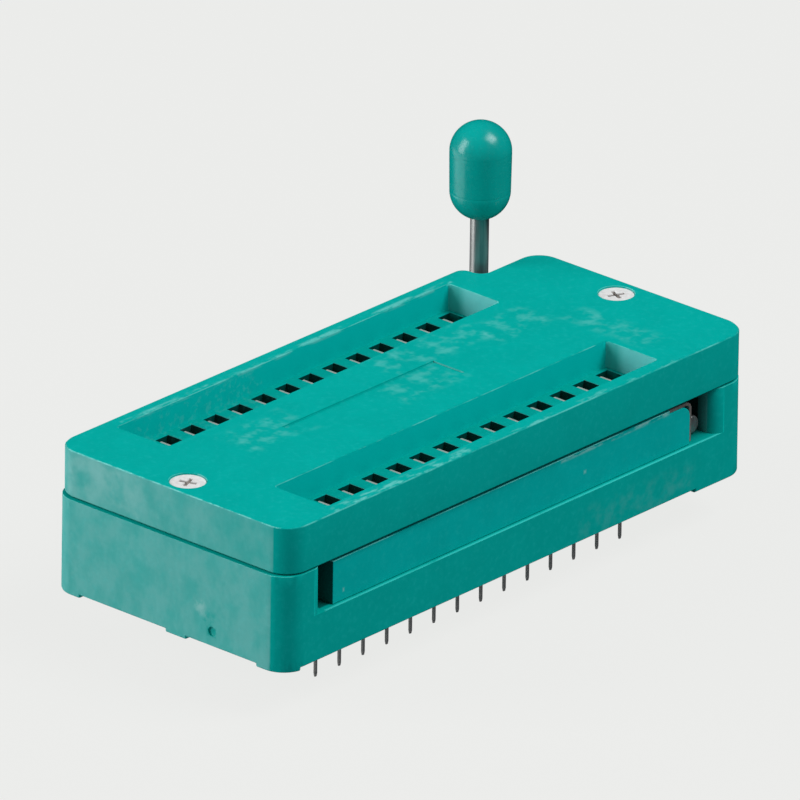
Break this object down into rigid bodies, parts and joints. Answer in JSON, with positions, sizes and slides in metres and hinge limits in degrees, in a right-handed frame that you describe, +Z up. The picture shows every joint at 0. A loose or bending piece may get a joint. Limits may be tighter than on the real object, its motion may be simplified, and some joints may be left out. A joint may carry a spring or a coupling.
{
  "type": "zero insertion force socket",
  "caption": "Lever-operated zero insertion force socket for a dual in-line chip: screwed cover with lead troughs, comb slide, cam lever with capsule knob, forked contacts and board tails.",
  "frame": {"origin": "centre of the tail pattern, on the plane of the board that the feet stand on", "axes": "+X along the rows towards the lever, +Y towards the lever's arm, +Z up out of the board"},
  "size_m": [0.0505, 0.0245, 0.026],
  "materials": {
    "moulded_body": "matte moulded green",
    "moulded_slide": "matte moulded green",
    "knob_plastic": "satin green",
    "lever_steel": "drawn wire",
    "plate_steel": "rolled strip",
    "screw_steel": "bright plated",
    "contact_metal": "grey plated strip"
  },
  "bodies": {
    "housing": {"base": "moulded_body", "cover": "moulded_body", "cover_screws": "screw_steel", "contact_front_01": "contact_metal", "contact_front_02": "contact_metal", "contact_front_03": "contact_metal", "contact_front_04": "contact_metal", "contact_front_05": "contact_metal", "contact_front_06": "contact_metal", "contact_front_07": "contact_metal", "contact_front_08": "contact_metal", "contact_front_09": "contact_metal", "contact_front_10": "contact_metal", "contact_front_11": "contact_metal", "contact_front_12": "contact_metal", "contact_front_13": "contact_metal", "contact_front_14": "contact_metal", "contact_rear_01": "contact_metal", "contact_rear_02": "contact_metal", "contact_rear_03": "contact_metal", "contact_rear_04": "contact_metal", "contact_rear_05": "contact_metal", "contact_rear_06": "contact_metal", "contact_rear_07": "contact_metal", "contact_rear_08": "contact_metal", "contact_rear_09": "contact_metal", "contact_rear_10": "contact_metal", "contact_rear_11": "contact_metal", "contact_rear_12": "contact_metal", "contact_rear_13": "contact_metal", "contact_rear_14": "contact_metal"},
    "lever": {"lever_rod": "lever_steel", "lever_cam": "lever_steel", "lever_knob": "knob_plastic"},
    "slider": {"slide": "moulded_slide", "drive_plate": "plate_steel"}
  },
  "joints": [
    {"name": "lever_swing", "type": "hinge", "parent": "housing", "child": "lever", "pos_m": [0.0216, 0, 0.00463], "axis": [0, 1, 0], "range_deg": [0, 90]},
    {"name": "slide_travel", "type": "slide", "parent": "housing", "child": "slider", "axis": [-1, 0, 0], "range_m": [0, 0.0006]}
  ],
  "couplings": [
    {"joint": "lever_swing", "follows": "slide_travel", "rad_per_m": 2618}
  ]
}
